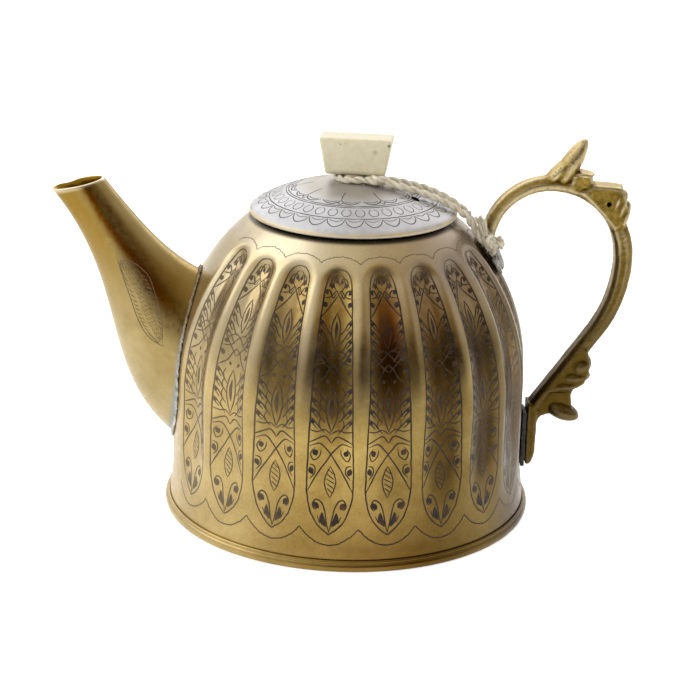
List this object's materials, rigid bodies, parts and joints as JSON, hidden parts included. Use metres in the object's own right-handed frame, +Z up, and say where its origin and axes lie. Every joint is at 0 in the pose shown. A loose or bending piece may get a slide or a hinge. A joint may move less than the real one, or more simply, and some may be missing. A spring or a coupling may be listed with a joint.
{
  "type": "brass teapot",
  "caption": "Small engraved brass teapot with a fluted bell body, curved spout, cast leaf handle and a domed lid with a bone knob tied on by twine.",
  "frame": {"origin": "centre of the flat base, on the surface that the pot stands on", "axes": "+Z up, spout towards -X, handle towards +X, -Y towards the viewer of the picture"},
  "size_m": [0.1668, 0.108, 0.11],
  "materials": {
    "engraved_brass": "aged sheet brass with engraved lines",
    "spout_brass": "aged sheet brass, worn",
    "sheet_brass": "aged sheet brass",
    "cast_brass": "pitted cast brass with worn edges",
    "tinned_brass": "tinned brass, engraved",
    "solder": "dull grey solder",
    "dark_solder": "blackened solder",
    "solder_strap": "solder-coated brass",
    "bone": "polished bone",
    "steel_pin": "hammered steel rivet",
    "twine": "twisted cotton twine"
  },
  "bodies": {
    "pot": {"body_shell": "engraved_brass", "base_plate": "sheet_brass", "foot_ring": "sheet_brass", "mouth_ring": "sheet_brass", "spout": "spout_brass", "spout_solder": "solder", "handle": "cast_brass", "handle_lug": "solder_strap", "lug_solder": "solder", "foot_solder": "dark_solder", "tether_drop": "twine", "tether_hitch": "twine", "tether_hitch_knot": "twine", "tether_tail": "twine"},
    "tether_bend": {"tether_bend": "twine"},
    "tether_loop": {"tether_loop": "twine", "tether_knot": "twine", "tether_front_strand": "twine", "tether_back_strand": "twine"},
    "lid": {"lid": "tinned_brass", "lid_collar": "tinned_brass", "knob": "bone", "knob_pin": "steel_pin", "knob_washer": "sheet_brass"}
  },
  "joints": [
    {"name": "lid_lift", "type": "slide", "parent": "pot", "child": "tether_bend", "axis": [0, 0, 1], "range_m": [0, 0.009], "deforming": ["tether_drop"]},
    {"name": "lid_tip", "type": "hinge", "parent": "tether_bend", "child": "tether_loop", "pos_m": [0.0297, 0, 0.088], "axis": [0, 1, 0], "range_deg": [0, 95], "deforming": ["tether_front_strand", "tether_back_strand", "tether_bend"]},
    {"name": "lid_turn", "type": "hinge", "parent": "tether_loop", "child": "lid", "pos_m": [0, 0, 0.0972], "axis": [0, 0, 1], "continuous": true}
  ]
}
